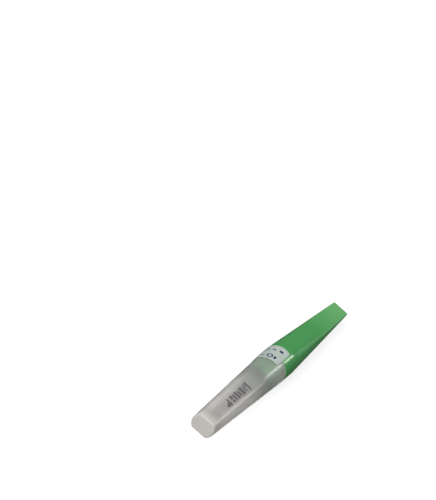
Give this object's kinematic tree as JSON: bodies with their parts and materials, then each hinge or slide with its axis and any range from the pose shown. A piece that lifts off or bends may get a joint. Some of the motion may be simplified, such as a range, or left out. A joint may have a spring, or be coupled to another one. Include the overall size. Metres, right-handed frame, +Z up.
{
  "type": "capped double-ended blood collection needle",
  "caption": "Capped double-ended blood collection needle: tapered green needle shield, frosted flat-sided rear cap, paper seal, threaded hub, sleeved rear point.",
  "frame": {"origin": "on the surface that the needle lies on, under the middle of its length", "axes": "+X along the needle towards the patient end, +Z up through the cap's upper flat, +Y to the side that the paper seal wraps"},
  "size_m": [0.0874, 0.011, 0.0108],
  "materials": {
    "green_plastic": "satin",
    "frosted_plastic": "frosted, translucent",
    "hub_plastic": "satin",
    "steel": "drawn tube, ground ends",
    "adhesive": "clear, glossy",
    "sleeve_rubber": "matt",
    "seal_paper": "matt, printed"
  },
  "bodies": {
    "needle": {"hub": "hub_plastic", "cannula": "steel", "needle_adhesive": "adhesive", "rubber_sleeve": "sleeve_rubber"},
    "front_shield": {"needle_shield": "green_plastic", "seal_label_front": "seal_paper"},
    "rear_cover": {"rear_cap": "frosted_plastic", "seal_label_rear": "seal_paper"}
  },
  "joints": [
    {"name": "needle_shield_pull", "type": "slide", "parent": "needle", "child": "front_shield", "axis": [1, 0, 0], "range_m": [0, 0.06]},
    {"name": "rear_cap_pull", "type": "slide", "parent": "needle", "child": "rear_cover", "axis": [-1, 0, 0], "range_m": [0, 0.06]}
  ]
}
